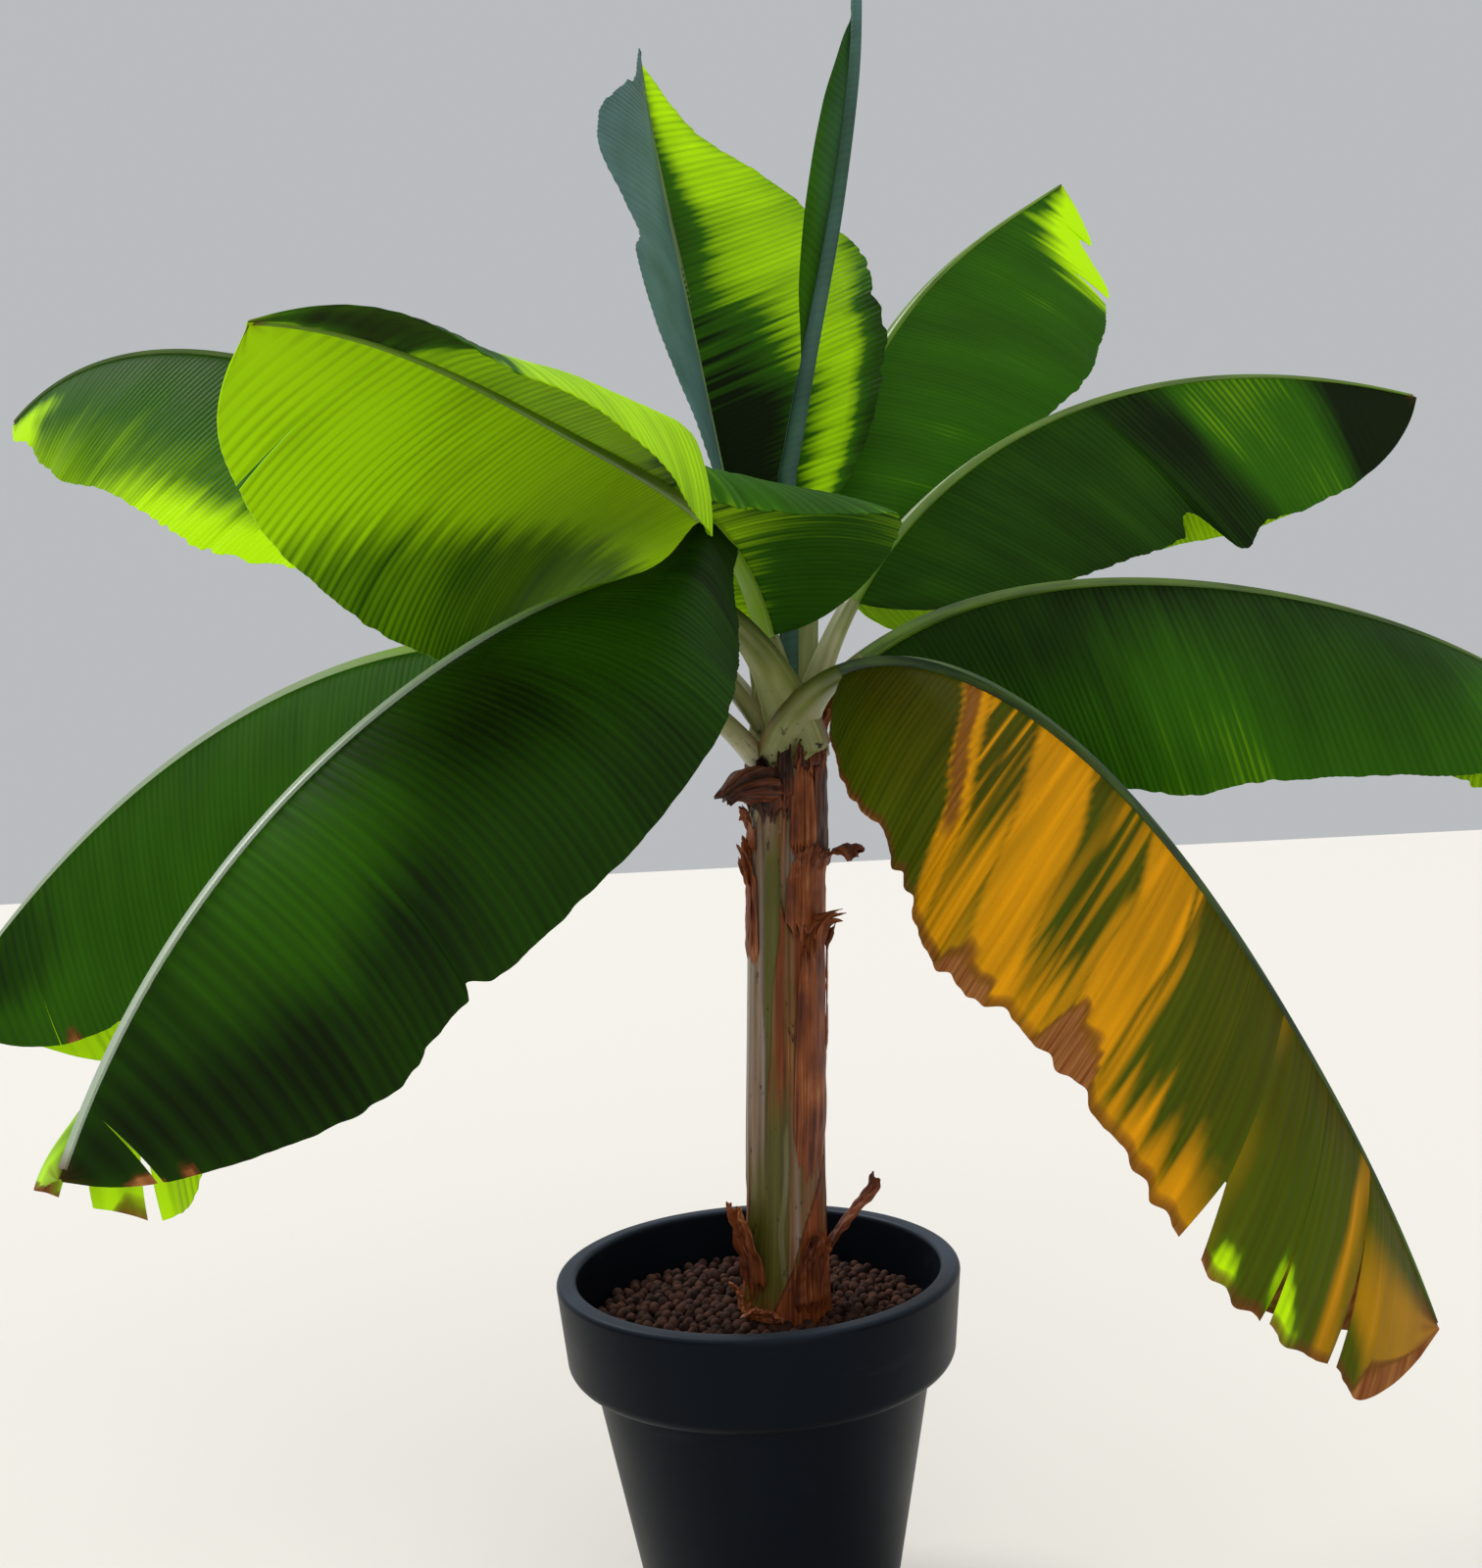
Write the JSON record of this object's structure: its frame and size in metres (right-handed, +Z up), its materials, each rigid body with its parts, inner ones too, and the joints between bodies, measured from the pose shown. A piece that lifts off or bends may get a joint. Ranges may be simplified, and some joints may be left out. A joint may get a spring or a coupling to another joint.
{
  "type": "potted banana plant",
  "caption": "Potted banana plant: broad arching paddle leaves on petioles from a slightly leaning pseudostem, in a tapered pot with a deep collar.",
  "frame": {"origin": "centre of the pot's flat underside, on the surface that it stands on", "axes": "+Z up, +X to the right and -Y towards the viewer in the picture"},
  "size_m": [1.9692, 1.621, 2.032],
  "materials": {
    "pot": "satin",
    "clay_pebbles": "matte",
    "sheath": "satin",
    "petiole": "satin",
    "leaf": "satin",
    "bright_leaf": "satin",
    "yellow_leaf": "satin",
    "new_leaf": "matte",
    "dry_sheath": "matte"
  },
  "bodies": {
    "root": {"pot": "pot", "clay_pebble_bed": "clay_pebbles", "pseudostem": "sheath", "rolled_new_leaf": "new_leaf", "petiole_back_upright": "petiole", "leaf_back_upright": "leaf", "petiole_upper_left": "petiole", "leaf_upper_left": "bright_leaf", "petiole_front_left": "petiole", "leaf_front_left": "leaf", "petiole_left": "petiole", "leaf_left": "leaf", "petiole_back_left": "petiole", "leaf_back_left": "leaf", "petiole_back_right": "petiole", "leaf_back_right": "leaf", "petiole_right_upper": "petiole", "leaf_right_upper": "leaf", "petiole_right_lower": "petiole", "leaf_right_lower": "leaf", "petiole_front_right": "petiole", "leaf_front_right": "yellow_leaf", "dry_petiole_stump": "dry_sheath", "dry_sheath_foot_left": "dry_sheath", "dry_sheath_foot_right": "dry_sheath", "dry_strip_foot": "dry_sheath", "dry_sheath_front": "dry_sheath", "dry_sheath_right": "dry_sheath", "dry_sheath_left": "dry_sheath", "dry_sheath_crown": "dry_sheath", "dry_sheath_back": "dry_sheath"}
  },
  "joints": []
}
